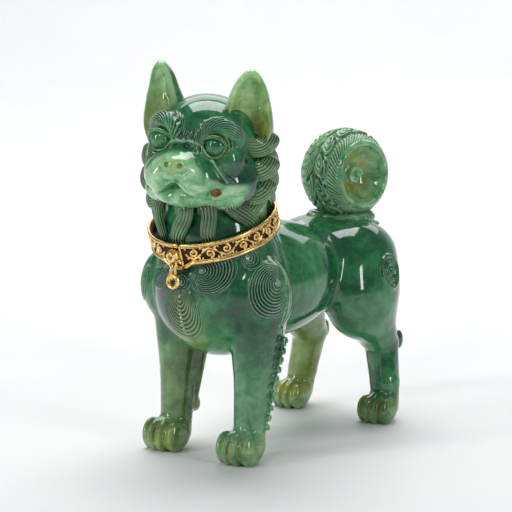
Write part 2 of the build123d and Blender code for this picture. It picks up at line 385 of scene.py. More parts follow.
def lock(path, width, height, out, ridges, depth, taper):
    """A lock of hair in mm: a flat tapering tube with lengthwise grooves."""
    count = lock_rows
    path = smooth_path(path, count)
    share = np.linspace(0.0, 1.0, count)
    size = np.interp(share, np.linspace(0, 1, len(taper)), taper)
    for rounded, reach in ((share, 0.05), (1 - share, 0.14)):
        size = size * np.sqrt(1.0 - (1.0 - np.clip(rounded / reach, 0.001, 1.0)) ** 2)
    ahead = unit_rows(np.gradient(path, axis=0))
    out = np.broadcast_to(np.asarray(out, float), path.shape)
    out = unit_rows(out - ahead * (out * ahead).sum(1)[:, None])
    side = np.cross(ahead, out)
    around = int(ridges * 10 / coarse)
    angle = turns(around)
    comb = np.abs(np.sin(ridges * angle))
    flat = np.sign(np.sin(angle)) * np.abs(np.sin(angle)) ** 0.8
    across = np.cos(angle)[None, :] * (width * size)[:, None]
    upward = flat[None, :] * (height * size**0.7)[:, None]
    sink = depth * (comb[None, :] - 1.0) * np.minimum(size, 1.0)[:, None]
    across = across + sink * np.cos(angle)[None, :]
    upward = upward + sink * np.sin(angle)[None, :]
    points = (
        path[:, None, :]
        + across[:, :, None] * side[:, None, :]
        + upward[:, :, None] * out[:, None, :]
    )
    # painted shade along the lock's grooves and a painted highlight on its ridges
    groove = np.broadcast_to(line_mark(comb)[None, :], across.shape)
    marks = {"groove": groove.ravel()}
    return points.reshape(-1, 3), grid_quads(count, around, wrap=True), marks


def gather(parts):
    """Joins (points, quads, marks) parts into one."""
    names = sorted({mark for part in parts for mark in part[2]})
    points, quads, marks = [], [], {mark: [] for mark in names}
    start = 0
    for part_points, part_quads, part_marks in parts:
        points.append(part_points)
        quads.append(part_quads + start)
        start += len(part_points)
        for mark in names:
            marks[mark].append(part_marks.get(mark, np.zeros(len(part_points))))
    marks = {mark: np.concatenate(values) for mark, values in marks.items()}
    return np.concatenate(points), np.concatenate(quads), marks


# ---------------------------------------------------------------- carving fine grooves


def split_quads(points, quads, chosen, parts):
    """Cuts the chosen quads into parts x parts smaller ones, sharing their edges."""
    share = np.linspace(0.0, 1.0, parts + 1)
    s, t = np.meshgrid(share, share, indexing="ij")
    weights = np.stack([(1 - s) * (1 - t), s * (1 - t), s * t, (1 - s) * t], -1)
    corners = points[quads[chosen]]
    fine = np.einsum("stk,nkx->nstx", weights, corners)
    together = np.concatenate([points, fine.reshape(-1, 3)])
    keys = np.round(together * 2000).astype(np.int64)
    keys = (keys[:, 0] * 2_000_003 + keys[:, 1]) * 2_000_003 + keys[:, 2]
    _, first, number = np.unique(keys, return_index=True, return_inverse=True)
    count = len(points)
    inner = number[count:].reshape(-1, parts + 1, parts + 1)
    small = np.stack(
        [inner[:, :-1, :-1], inner[:, 1:, :-1], inner[:, 1:, 1:], inner[:, :-1, 1:]], -1
    ).reshape(-1, 4)
    return together[first], np.concatenate([number[quads[~chosen]], small])


def flat_carving(centre, facing, up, half_width, half_height, pattern, reach=9.0):
    """A carving whose pattern(u, v) gives height, and painted shade and highlight, on a plane facing
    outward.
    """
    centre, facing = np.asarray(centre, float), unit(facing)
    across = unit(np.cross(up, facing))
    upward = np.cross(facing, across)

    def carve(points):
        away = points - centre
        u, v, w = away @ across, away @ upward, away @ facing
        inside = (abs(u) < half_width) & (abs(v) < half_height) & (abs(w) < reach)
        return inside, lambda: pattern(u[inside], v[inside])

    return carve


def engrave(clay, points, quads, carvings, parts=3):
    """Refines the skin under each carving and raises its pattern there."""
    parts = parts if coarse == 1.0 else 2
    touched = np.zeros(len(points), bool)
    for carving in carvings:
        touched |= carving(points)[0]
    points, quads = split_quads(points, quads, touched[quads].any(1), parts)
    rise = np.zeros(len(points))
    groove = np.zeros(len(points))
    for carving in carvings:
        inside, heights = carving(points)
        height, depth = heights()
        rise[inside] += height
        # each pattern's second value is painted shade in its grooves and a painted highlight on its
        # crests
        groove[inside] = np.where(abs(depth) > abs(groove[inside]), depth, groove[inside])
    moved = rise != 0
    slope = clay.slope(points[moved])
    slope /= np.maximum(np.linalg.norm(slope, axis=1), 1e-6)[:, None]
    points[moved] += slope * rise[moved, None]
    return points, quads, groove


def line_mark(line):
    """1 in the valley between two lines, below 0 on a line's crest: painted shade in the valleys,
    painted highlight on the crests.
    """
    return (1.0 - line) - 0.8 * line**14


scroll_edge = 0.9


def scroll(outline, rings, base=0.5, depth=0.5, eye=0.9):
    """A carved scroll: nested lines that wind into an eye.

    outline lists (angle in degrees, reach in mm) around the eye."""
    angles = np.radians([angle for angle, _ in outline])
    reaches = np.array([reach for _, reach in outline])
    even = np.linspace(-math.pi, math.pi, 72, endpoint=False)
    rough = np.interp(even, angles, reaches, period=2 * math.pi)
    soft = np.exp(-0.5 * (np.arange(-9, 10) / 3.6) ** 2)
    soft /= soft.sum()
    smooth = sum(weight * np.roll(rough, i - 9) for i, weight in enumerate(soft))

    def pattern(u, v):
        angle = np.arctan2(v, u)
        reach = np.interp(angle, even, smooth, period=2 * math.pi)
        radius = np.hypot(u, v)
        share = radius / reach
        phase = rings * share - angle / (2 * math.pi)
        line = np.abs(np.sin(math.pi * phase)) ** 0.8
        line = np.where(radius < eye, 1.0, line)
        here = smooth_step(1.0, 1.0 - scroll_edge / reach.mean(), share)
        # the second value is painted shade between the lines and a painted highlight on them
        return here * (base - depth * (1 - line)), here * line_mark(line)

    return pattern


# ---------------------------------------------------------------- materials


class Nodes:
    """Builds a material's node tree with few words."""

    def __init__(self, name):
        self.material = bpy.data.materials.new(name)
        self.material.use_nodes = True
        self.tree = self.material.node_tree
        self.tree.nodes.clear()
        self.output = self.tree.nodes.new("ShaderNodeOutputMaterial")
        self.place = self.tree.nodes.new("ShaderNodeTexCoord").outputs["Object"]

    def put(self, socket, value):
        if isinstance(value, bpy.types.NodeSocket):
            self.tree.links.new(value, socket)
        else:
            socket.default_value = value

    def maths(self, operation, a, b, clamp=False):
        node = self.tree.nodes.new("ShaderNodeMath")
        node.operation = operation
        node.use_clamp = clamp
        for socket, value in zip(node.inputs, (a, b)):
            self.put(socket, value)
        return node.outputs[0]

    def noise(self, size_mm, detail=3.0, rough=0.5, twist=0.0):
        node = self.tree.nodes.new("ShaderNodeTexNoise")
        self.put(node.inputs["Vector"], self.place)
        self.put(node.inputs["Scale"], 1.0 / (size_mm * MM))
        self.put(node.inputs["Detail"], detail)
        self.put(node.inputs["Roughness"], rough)
        self.put(node.inputs["Distortion"], twist)
        return node.outputs["Fac"]

    def cells(self, size_mm):
        node = self.tree.nodes.new("ShaderNodeTexVoronoi")
        self.put(node.inputs["Vector"], self.place)
        self.put(node.inputs["Scale"], 1.0 / (size_mm * MM))
        return node.outputs["Distance"]

    def ramp(self, value, *stops):
        node = self.tree.nodes.new("ShaderNodeValToRGB")
        band = node.color_ramp
        while len(band.elements) < len(stops):
            band.elements.new(0.5)
        for element, (where, colour) in zip(band.elements, stops):
            element.position = where
            element.color = (*colour, 1.0)
        self.put(node.inputs["Fac"], value)
        return node.outputs["Color"]

    def mix(self, amount, a, b, mode="MIX"):
        node = self.tree.nodes.new("ShaderNodeMix")
        node.data_type = "RGBA"
        node.blend_type = mode
        self.put(node.inputs["Factor"], amount)
        colours = [s for s in node.inputs if s.type == "RGBA"]
        self.put(colours[0], a)
        self.put(colours[1], b)
        return [s for s in node.outputs if s.type == "RGBA"][0]

    def mark(self, name):
        node = self.tree.nodes.new("ShaderNodeAttribute")
        node.attribute_name = name
        return node.outputs["Fac"]

    def shader(self, bump=None, bump_mm=0.1, **sockets):
        node = self.tree.nodes.new("ShaderNodeBsdfPrincipled")
        for socket, value in sockets.items():
            self.put(node.inputs[socket.replace("_", " ")], value)
        if bump is not None:
            relief = self.tree.nodes.new("ShaderNodeBump")
            self.put(relief.inputs["Distance"], bump_mm * MM)
            self.put(relief.inputs["Height"], bump)
            self.put(node.inputs["Normal"], relief.outputs["Normal"])
        self.tree.links.new(node.outputs[0], self.output.inputs["Surface"])
        return self.material


def jade(name, glow):
    """Polished jade. glow brightens the pale and olive parts: painted light, a lighter copy of the
    stone as where light shines through thin stone.
    """
    n = Nodes(name)
    clouds = n.noise(26.0, 3.0, 0.55, 0.6)
    mottle = n.noise(5.5, 4.0, 0.6, 0.8)
    grain = n.noise(1.1, 3.0, 0.6)
    mixed = n.maths("ADD", n.maths("MULTIPLY", clouds, 0.62), n.maths("MULTIPLY", mottle, 0.3))
    mixed = n.maths("ADD", mixed, n.maths("MULTIPLY", grain, 0.08))
    green = n.ramp(
        mixed,
        (0.36, (0.002, 0.034, 0.015)),
        (0.47, (0.007, 0.110, 0.038)),
        (0.57, (0.040, 0.240, 0.085)),
        (0.72, (0.160, 0.420, 0.200)),
    )
    patchy = n.maths("ADD", n.maths("MULTIPLY", mixed, 0.45), n.maths("MULTIPLY", mottle, 0.55))
    pale = n.ramp(
        patchy,
        (0.38, (0.060, 0.280, 0.110)),
        (0.47, (0.210, 0.500, 0.230)),
        (0.60, (0.470, 0.720, 0.420)),
    )
    olive = n.ramp(
        mixed,
        (0.32, (0.160, 0.160, 0.006)),
        (0.50, (0.380, 0.410, 0.040)),
        (0.70, (0.640, 0.680, 0.200)),
    )
    pale = n.mix(1.0, pale, (glow, glow, glow, 1.0), "MULTIPLY")
    olive = n.mix(1.0, olive, (glow, glow, glow, 1.0), "MULTIPLY")
    colour = n.mix(n.mark("pale"), green, pale)
    colour = n.mix(n.mark("olive"), colour, olive)
    colour = n.mix(n.mark("rust"), colour, (0.33, 0.12, 0.010, 1.0))
    flecks = n.maths("LESS_THAN", n.cells(2.6), 0.085)
    flecks = n.maths("MULTIPLY", flecks, n.maths("GREATER_THAN", n.noise(9.0, 1.0), 0.54))
    colour = n.mix(n.maths("MULTIPLY", flecks, 0.35), colour, (0.30, 0.52, 0.36, 1.0))
    # painted shade darkens the valleys between carved lines and in hollows; where the mark is below
    # zero it paints a highlight on crests and rims
    valley = n.maths("MULTIPLY", n.mark("groove"), 0.85, clamp=True)
    colour = n.mix(valley, colour, (0.002, 0.022, 0.010, 1.0))
    crest = n.maths("MULTIPLY", n.mark("groove"), -0.55, clamp=True)
    colour = n.mix(crest, colour, (0.42, 0.66, 0.45, 1.0))
    return n.shader(
        Base_Color=colour,
        Roughness=n.maths("ADD", 0.05, n.maths("MULTIPLY", grain, 0.08)),
        IOR=1.62,
        Subsurface_Weight=0.3,
        Subsurface_Radius=(0.6, 1.0, 0.7),
        Subsurface_Scale=1.6 * MM,
        Coat_Weight=0.3,
        Coat_Roughness=0.03,
    )


def gilt():
    n = Nodes("gilt_metal")
    wear = n.noise(1.6, 4.0, 0.6)
    gold = n.ramp(
        wear,
        (0.25, (0.58, 0.32, 0.065)),
        (0.50, (0.95, 0.66, 0.24)),
        (0.75, (1.00, 0.86, 0.48)),
    )
    # painted shade: the recessed ground and the boss's pits are painted dark brown, less metallic
    # and rougher, for the shade that falls in them
    recess = n.mark("recess")
    colour = n.mix(recess, gold, (0.060, 0.022, 0.008, 1.0))
    rough = n.maths("ADD", 0.20, n.maths("MULTIPLY", wear, 0.14))
    return n.shader(
        bump=n.noise(0.35, 2.0),
        bump_mm=0.02,
        Base_Color=colour,
        Metallic=n.maths("SUBTRACT", 1.0, n.maths("MULTIPLY", recess, 0.5)),
        Roughness=n.maths("ADD", rough, n.maths("MULTIPLY", recess, 0.3)),
    )


jade_material = jade("polished_jade", 1.0)
# the ears get a lighter copy of the jade: painted light, for light shining through the thin stone
ear_material = jade("ear_jade_painted_light", 1.35)
gilt_material = gilt()


# ---------------------------------------------------------------- places


def box_mm(node):
    low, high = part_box(node)
    return np.array(low) / MM, np.array(high) / MM


def box_middle(node):
    low, high = box_mm(node)
    return (low + high) / 2


def finish_piece(piece, body, slot, *nodes):
    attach(piece, body)
    if nodes:
        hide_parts(*nodes)
    return piece


up_world = np.array([0.0, 0.0, 1.0])
left_eye, right_eye = box_middle("left_eye"), box_middle("right_eye")
head_left = unit(left_eye - right_eye)
head_back = unit(np.cross(up_world, head_left))
head_up = np.cross(head_left, head_back)
eye_across = np.linalg.norm(left_eye - right_eye) / 2
eye_forward = -14.6
eye_height = 4.3
head_axes = np.stack([head_left, head_back, head_up], 1)
head_origin = (left_eye + right_eye) / 2 - head_axes @ np.array([0, eye_forward, eye_height])

collar_joint = next(j for j in frame["joints"] if j["name"] == "collar_turn")
collar_axis = unit(collar_joint["axis"])
collar_middle = np.array(collar_joint["pos_m"]) / MM
collar_back = unit(np.cross(collar_axis, (1.0, 0.0, 0.0)))
collar_axes = np.stack([np.array([1.0, 0.0, 0.0]), collar_back, collar_axis], 1)


def from_head(points):
    return np.asarray(points) @ head_axes.T + head_origin


def from_collar(points):
    return np.asarray(points) @ collar_axes.T + collar_middle


def round_collar(radius, angle_degrees, height):
    """Points around the collar: angle 0 is the front, 90 the dog's left."""
    angle = np.radians(angle_degrees)
    radius, angle, height = np.broadcast_arrays(radius, angle, height)
    place = np.stack([radius * np.sin(angle), -radius * np.cos(angle), height], -1)
    return from_collar(place)


def flipped(path, side):
    """The same path on the other side when side is -1."""
    return np.asarray(path, float) * (side, 1, 1)


def chain(clay, path, radius, blend, carve=False, count=14, lift=None):
    """Lays a rod of clay along a path, or cuts it away.

    With a lift in mm the path is first drawn onto the surface."""
    path = smooth_path(path, count)
    if lift is not None:
        path = clay.settle(path, rounds=12)
        path = path + lift * clay.slope(path)
    radius = np.interp(
        np.linspace(0, 1, count), np.linspace(0, 1, np.size(radius)), np.atleast_1d(radius)
    )
    for i in range(count - 1):
        rod = limb(path[i], path[i + 1], radius[i], radius[i + 1])
        if carve:
            clay.carve(rod, blend)
        else:
            clay.add(rod, blend)


# ---------------------------------------------------------------- the body

front_paw_x, front_toe_gap = 16.8, 3.75
hind_paw_x, hind_toe_gap = 20.2, 3.3
breast_wear = 0.9


def front_leg(clay, side):
    clay.add(egg((side * 17.6, -30.6, 58.5), (13.4, 12.2, 15.0)), 1.8)
    clay.add(limb((side * 17.0, -29.4, 52), (side * 16.8, -31.8, 27), 10.5, 6.6), 1.2)
    clay.add(limb((side * 16.0, -25.2, 50), (side * 16.5, -29.0, 15), 9.0, 4.6), 1.5)
    clay.add(limb((side * 16.8, -31.8, 27), (side * 16.6, -33.6, 8), 6.6, 5.6), 0.6)
    paw(clay, (side * front_paw_x, -37.4), (7.9, 8.2, 6.0), 1.0)
    clay.add(limb((side * 15.2, -29.6, 14.8), (side * 14.0, -26.9, 14.8), 3.4, 2.4), 0.6)
    clay.add(egg((side * 13.6, -26.3, 14.8), (1.6, 1.8, 2.9)), 0.6)


def hind_leg(clay, side):
    clay.add(egg((side * 16.3, 35.5, 50), (11.6, 18, 18)), 3.5)
    clay.add(egg((side * 11, 39, 60.4), (13.5, 18.6, 15.2)), 4)
    clay.add(limb((side * 16.3, 37, 44), (side * 16.6, 47.6, 29), 11.2, 6.6), 3)
    clay.add(limb((side * 16.6, 47.6, 29), (side * 19.2, 46.4, 14), 6.4, 5.6), 0.8)
    clay.add(limb((side * 19.2, 46.4, 14), (side * 20.0, 45.6, 7), 5.6, 5.3), 0.6)
    paw(clay, (side * hind_paw_x, 41.6), (7.0, 7.6, 5.6), 0.88)
    clay.add(limb((side * 16.8, 51.0, 28.6), (side * 17.4, 55.0, 28.6), 3.0, 2.4), 0.6)
    clay.add(egg((18.4 if side > 0 else -16.0, 56.2, 28.6), (1.7, 2.3, 3.7)), 0.4)
    for reach, thick in ((5.6, 0.7), (3.2, 0.62)):
        turn = np.linspace(0, 2 * math.pi, 19)
        away = np.stack([np.zeros(19), 0.95 * reach * np.cos(turn), reach * np.sin(turn)], 1)
        away[:, 0] = side * -0.3 * away[:, 2]
        ring = np.array([side * 25.5, 39.0, 57.8]) + away
        chain(clay, ring, thick, 0.35, count=36, lift=0.2)
    dot = clay.settle(np.array([[side * 25.5, 39.0, 57.8]]), rounds=8)[0]
    clay.add(egg(dot, (1.3, 1.3, 1.3)), 0.3)


def paw(clay, middle, size, share):
    """A round paw with four toes that are only lightly parted."""
    x, y = middle
    clay.add(egg((x, y, size[2] - 0.1), size), 1.4)
    clay.add(egg((x, y - 1.4 * share, 3.3), (7.9 * share, 7.4 * share, 3.9)), 1.0)
    for across, forward in ((-5.6, -2.6), (-1.95, -4.3), (1.95, -4.3), (5.6, -2.6)):
        toe = (x + across * share, y + forward * share, 5.3 * share)
        clay.add(egg(toe, (2.45 * share, 4.9 * share, 5.8 * share)), 0.6)


leg_ridge = [
    (25.0, -26.3, 74.6),
    (28.6, -27.6, 70.5),
    (30.6, -28.8, 66.0),
    (31.0, -29.8, 60.8),
    (29.5, -30.7, 55.6),
    (27.6, -30.6, 49.0),
]
curl_path = [
    (26.0, -27.6, 43.0),
    (24.4, -28.4, 35.0),
    (23.4, -29.6, 27.0),
    (22.9, -31.2, 18.0),
    (22.6, -32.4, 12.4),
]
curl_count = 10
curl_sizes = np.linspace(2.05, 1.25, curl_count)
curl_middles = {}  # filled in when the clay is built


def body_clay():
    clay = Clay((-36, -57, -2), (36, 64, 104), 0.55)
    clay.add(egg((0, 35, 60.2), (19.5, 24.5, 17.0)))
    clay.add(egg((0, -3, 58.6), (21.5, 36, 21.4)), 6)
    for side in (1, -1):
        front_leg(clay, side)
        hind_leg(clay, side)
    clay.add(egg((0, -27.6, 59.6), (23.8, 24.6, 24.6)), 1.6)
    throat_low = collar_middle - 10 * collar_axis
    throat_mid = collar_middle - 2 * collar_axis
    throat_high = collar_middle + 15 * collar_axis
    clay.add(limb(throat_low, throat_mid, 20.6, 20.2), 3)
    clay.add(limb(throat_mid, throat_high, 17.2, 15.0), 1.0)
    for side in (1, -1):
        path = smooth_path(flipped(curl_path, side), curl_count)
        curl_middles[side] = clay.settle(path, rounds=10) + (side * 0.3, 0.5, 0)
        for place, size in zip(curl_middles[side], curl_sizes):
            clay.add(egg(place, (size, size, size)), 0.3)
    clay.field = np.maximum(clay.field, -clay.axes[2][None, None, :])
    return clay


chest_curl = scroll(
    [(-170, 4.2), (-140, 6.0), (-90, 8.0), (-45, 10.5), (0, 12.2), (45, 12), (120, 8), (160, 4.6)],
    rings=12,
    base=0.6,
    depth=0.75,
)
sternum_curl = scroll(
    [(-180, 5), (-140, 9), (-110, 16), (-90, 19), (-65, 16), (-30, 8), (30, 4), (90, 3)],
    rings=11,
    base=0.6,
    depth=0.65,
    eye=0.5,
)
shoulder_curl = scroll(
    [(-180, 9.8), (-140, 13), (-110, 14.5), (-80, 12), (-40, 5), (0, 2.8), (60, 5), (120, 8)],
    rings=12,
    base=0.7,
    depth=0.8,
)
side_tuft = scroll([(-150, 3), (-90, 4.5), (-30, 6), (30, 5), (90, 4), (150, 3)], 5, 0.4, 0.35)
small_curl = scroll([(-150, 3.2), (-90, 3.0), (0, 4.6), (90, 3.5), (150, 3)], 4, 0.45, 0.4)


def mirror(pattern, side):
    return lambda u, v: pattern(side * u, v)


def body_carvings():
    carvings = []
    for side in (1, -1):
        placed = (
            ((side * 7.8, -49, 69), (side * 0.34, -0.93, 0.1), 14, 11, chest_curl),
            ((side * 28.6, -33.5, 65.0), (side * 0.82, -0.55, 0.14), 14, 16, shoulder_curl),
            ((side * 19.5, -38, 73.5), (side * 0.8, -0.55, 0.2), 7, 6, side_tuft),
        )
        for centre, facing, half_width, half_height, pattern in placed:
            sided = mirror(pattern, side)
            carvings.append(flat_carving(centre, facing, up_world, half_width, half_height, sided))
    for placed in (
        ((0.6, -51, 60), (0.1, -0.98, -0.15), up_world, 12, 21, sternum_curl),
        ((0.8, -51.4, 64.6), (0, -1, 0.1), up_world, 6, 5, small_curl),
    ):
        carvings.append(flat_carving(*placed))
    for across, back, gap in ((front_paw_x, -41, front_toe_gap), (hind_paw_x, 37, hind_toe_gap)):
        for side in (1, -1):
            place = (side * across, back, 5)
            carvings.append(flat_carving(place, (0, -1, 0), up_world, 8.5, 7, toe_lines(gap), 6))
    return carvings


def toe_lines(gap):
    """The thin creases between the toes."""

    def pattern(u, v):
        away = np.minimum(np.abs(u), np.abs(np.abs(u) - gap))
        return -0.7 * smooth_step(1.0, 0.0, away) * smooth_step(6.5, 5.0, v), np.zeros_like(u)

    return pattern


def make_leg_ridges(clay, side):
    """The double line behind the shoulder and the chain of little curls below it."""
    parts = []
    for shift in (-0.75, 0.75):
        path = smooth_path(flipped(leg_ridge, side) + (0, shift, 0), 40)
        path = clay.settle(path, rounds=10)
        parts.append(wire(path, (0.2, 0.42, 0.42, 0.3), count=80))
    outward = unit((side * 0.93, 0.3, 0.1))
    across = unit(np.cross(up_world, outward))
    upward = np.cross(outward, across)
    for number, (place, size) in enumerate(zip(curl_middles[side], curl_sizes)):
        angle = np.linspace(0.0, 2 * math.pi * 1.6, 24) * (1 if number % 2 else -1)
        reach = np.linspace(size * 1.02, 0.22, 24)
        rise = np.sqrt(np.maximum(size**2 * 1.1 - reach**2, 0.0)) * 0.9 + 0.12
        curl = (
            place
            + np.outer(reach * np.cos(angle), across)
            + np.outer(reach * np.sin(angle), upward)
            + np.outer(rise, outward)
        )
        parts.append(wire(curl, (0.3, 0.3, 0.26), around=6, count=40))
    points, quads, marks = gather(parts)
    name = side_name(side)
    # the wires and curls are lightened all over: painted light, so they stand out from the shade
    # they sit in
    marks["pale"] = 0.8 * np.ones(len(points))
    piece = make_mesh(f"{name}_leg_curls", points, quads, jade_material, marks)
    return finish_piece(piece, "statue", "jade")


def crease_distance(x, paw_x, gap):
    """How far each point is from the nearest crease between a paw's toes."""
    near = np.full(len(x), 9.0)
    for shift in (-gap, 0.0, gap):
        near = np.minimum(near, np.abs(np.abs(x) - paw_x - shift))
    return near


def make_body(clay):
    points, quads = clay.skin()
    points, quads, groove = engrave(clay, points, quads, body_carvings())
    x, y, z = points.T
    # the breast is worn back a little, so that the turning collar's front plate clears it
    worn = smooth_step(1.0, 0.35, np.hypot(x / 12.5, (z - 72) / 7.5)) * (y < -42)
    points[:, 1] += breast_wear * worn
    crease = crease_distance(x, front_paw_x, front_toe_gap)
    hind_crease = crease_distance(x, hind_paw_x, hind_toe_gap)
    crease = np.where(y < 0, crease + 0.8 * (y > -39), hind_crease + 0.8 * (y > 40))
    toes = smooth_step(10.5, 8.5, z)
    sternum = np.hypot((x - 1.0) / 8, (z - 50) / 14) + 9 * (y > -40)
    tabs = np.linalg.norm((np.abs(x) - 13.6, y + 26.0, z - 14.8), axis=0)
    far_hind = smooth_step(50, 18, z) * smooth_step(10, 20, y) * (x < 0)
    marks = {
        "groove": groove,
        # paler towards the feet and on the lower front legs: painted reflection of the white floor
        "pale": 0.42 * smooth_step(15, 5, z) + 0.2 * smooth_step(44, 20, z) * (y < 0),
        "olive": 0.95 * toes * smooth_step(0.5, 0.12, crease)
        + 0.22 * toes
        + 0.3 * smooth_step(1.1, 0.5, sternum)
        + 0.5 * far_hind * smooth_step(3, 8, z)
        + 0.22 * smooth_step(46, 30, z) * (x < 0) * (y < 0)
        + 0.7 * smooth_step(3.4, 2.6, tabs),
    }
    piece = make_mesh("jade_body", points, quads, jade_material, marks)
    legs = [f"{end}_{side}_leg" for end in ("front", "hind") for side in ("left", "right")]
    return finish_piece(piece, "statue", "jade", "torso", "neck", *legs)


# ---------------------------------------------------------------- the head

face_pivot = np.array([0.0, -26.0, 0.0])
face_turn = turn_matrix(0, 0, -6)
cheek_line = [
    (0, -18.0, 4.6),
    (4.6, -18.4, 4.2),
    (8.2, -18.2, 2.2),
    (11.2, -17.4, -1.0),
    (13.6, -15.6, -4.6),
    (15.6, -12.4, -8.4),
]
mouth_reach = (0, 3.2, 6.6, 9.8, 11.8)
mouth_height = (-9.0, -10.8, -12.8, -13.5, -13.1)
mouth_front = (-25.2, -24.6, -22.6, -18.6, -15.0)
ball_radius = 3.8
upper_lid = [
    (-4.3, -1.2, 0.6),
    (-2.7, -2.9, 2.6),
    (0.2, -3.3, 3.4),
    (2.8, -2.8, 2.7),
    (4.4, -1.0, 0.6),
]
lower_lid = [
    (-4.1, -1.4, -0.6),
    (-2.4, -2.3, -3.0),
    (0.4, -2.4, -3.8),
    (2.8, -2.1, -2.9),
    (4.2, -1.2, -0.4),
]
pit_places = {1: (12.6, -17.2, -11.8), -1: (-12.2, -14.6, -12.2)}


def turned_face(points):
    """Face features turned a little about the nose."""
    return (np.asarray(points, float) - face_pivot) @ face_turn.T + face_pivot


def eye_place(side):
    return turned_face((side * eye_across + 0.4, eye_forward - 1.5, eye_height - 0.1))


def mouth_block():
    """The space under the upper lip, to be cut away before the chin goes in."""

    def distance(x, y, z):
        under = z - np.interp(np.abs(x), mouth_reach, mouth_height)
        return np.maximum(under, y + 15.0).astype(np.float32)

    return distance, np.array([-11.9, -30, -24]), np.array([11.9, -15, -9])


def head_clay():
    clay = Clay((-24, -31, -25), (24, 23, 22), 0.36)
    clay.add(egg((0, 2, 1), (18.8, 19.0, 17.8)))
    for side in (1, -1):
        cheek = turned_face([(side * 10.4, -4.6, -9.4), (side * 12.4, -10.2, -1.5)])
        clay.add(egg(cheek[0], (10.4, 12.5, 10.4)), 4)
        clay.add(egg(cheek[1], (6.4, 6.6, 7.0)), 2)
    clay.add(egg((0, -12.5, -4.4), (12.4, 12.4, 7.4)), 1.0)
    for side in (1, -1):
        clay.add(egg((side * 6.2, -15.2, -7.4), (8.2, 9.8, 7.4)), 2.2)
    clay.add(egg((0, -22.4, -3.6), (5.4, 3.6, 3.4)), 1.6)
    clay.carve(mouth_block(), 0.5)
    clay.add(egg((0, -12.6, -14.3), (11.8, 10.4, 4.7)), 0.7)
    for side in (1, -1):
        clay.add(egg((side * 9.6, -10.8, -13.6), (6.8, 6.6, 4.8)), 1.2)
    for side in (1, -1):
        ridge = turned_face(flipped(cheek_line, side))
        chain(clay, ridge, (0.9, 0.9, 0.7), 0.5, count=26, lift=0.4)
        lips = np.stack([np.multiply(mouth_reach, side), mouth_front, mouth_height], 1)
        chain(clay, lips, (0.55, 0.6, 0.6, 0.6), 0.5, count=16, lift=0.1)
        pit = np.array(pit_places[side])
        clay.add(hoop(pit, (side * 1.0, -1.0, -0.1), 2.1, 0.7), 0.6)
        clay.carve(egg(pit + (side * 0.9, -1.0, -0.1), (1.9, 2.1, 1.4)), 0.3)
        brow = turned_face(
            [
                (side * 5.0, -16.6, 4.6),
                (side * 6.4, -15.8, 8.0),
                (side * 10.2, -14.0, 10.2),
                (side * 14.4, -11.4, 9.0),
                (side * 16.8, -9.0, 5.2),
            ]
        )
        chain(clay, brow, (1.6, 2.3, 2.8, 2.5, 1.6), 1.6)
        ball = eye_place(side)
        clay.carve(egg(ball + (0, -2.0, 0), (4.7, 3.4, 4.5)), 0.8)
        look = (side * 0.3 + 0.1, -1, 0.02)
        clay.add(hoop(ball + (0, -0.3, 0), look, 4.4, 0.38), 0.3)
        clay.add(hoop(ball + (0, 0.5, 0), look, 5.3, 0.36), 0.3)
        chain(clay, ball + flipped(upper_lid, side), (0.4, 0.6, 0.6, 0.4), 0.4)
        chain(clay, ball + flipped(lower_lid, side), (0.3, 0.36, 0.3), 0.3)
        clay.carve(egg((side * 2.5, -25.6, -2.8), (1.05, 1.9, 0.95)), 0.35)
        crease = [(side * 4.4, -25.2, -1.4), (side * 5.2, -24.4, -4.0), (side * 3.2, -25.4, -5.6)]
        chain(clay, crease, 0.35, 0.4, carve=True, count=8)
    chain(clay, [(0, -26.4, -3.0), (0, -26.2, -6.0), (0, -25.6, -9.0)], 0.5, 0.45, carve=True)
    return clay


def make_eye(side):
    """The polished ball of one eye."""
    name = side_name(side)
    clay = Clay((-4, -4, -4), (4, 4, 4), 0.3)
    clay.add(egg((0, 0, 0), (ball_radius, ball_radius, ball_radius)))
    points, quads = clay.skin()
    piece = make_mesh(f"{name}_eyeball", from_head(points + eye_place(side)), quads, jade_material)
    return finish_piece(piece, "statue", "jade", f"{name}_eye")


def brow_pattern(side):
    """Hair of the brow: lines that fan out round the eye."""

    def pattern(u, v):
        u = side * u
        angle = np.arctan2(v, u)
        radius = np.hypot(u, v)
        share = (radius - 5.7) / 4.9
        phase = 6.0 * share + 4.6 * angle
        line = np.abs(np.sin(math.pi * phase))
        here = smooth_step(0.0, 0.16, share) * smooth_step(1.05, 0.86, share)
        here = here * smooth_step(0.2, 0.55, angle) * smooth_step(3.1, 2.8, angle)
        return here * (0.4 - 0.6 * (1 - line)), here * line_mark(line)

    return pattern


def jaw_hair(side):
    """Fine hair that starts on the jaw's edge and falls toward the throat."""

    def pattern(u, v):
        u = side * u
        lean = u + 0.9 * v + 0.05 * v * v
        line = np.abs(np.sin(math.pi * lean / 1.05))
        here = smooth_step(0.5, -2.5, v + 0.45 * u) * smooth_step(-11, -8, v)
        here = here * smooth_step(-8.0, -5.0, u) * smooth_step(10.5, 8.5, u)
        return here * (0.28 - 0.4 * (1 - line)), here * line_mark(line)

    return pattern


def head_carvings():
    carvings = []
    for side in (1, -1):
        eye = eye_place(side)
        carvings.append(
            flat_carving(eye, (side * 0.3, -1, 0.3), up_world, 13, 13, brow_pattern(side), 12)
        )
        jaw = (side * 14, -4, -14)
        carvings.append(
            flat_carving(jaw, (side * 0.8, -0.5, -0.35), up_world, 12, 12, jaw_hair(side), 8)
        )
    return carvings


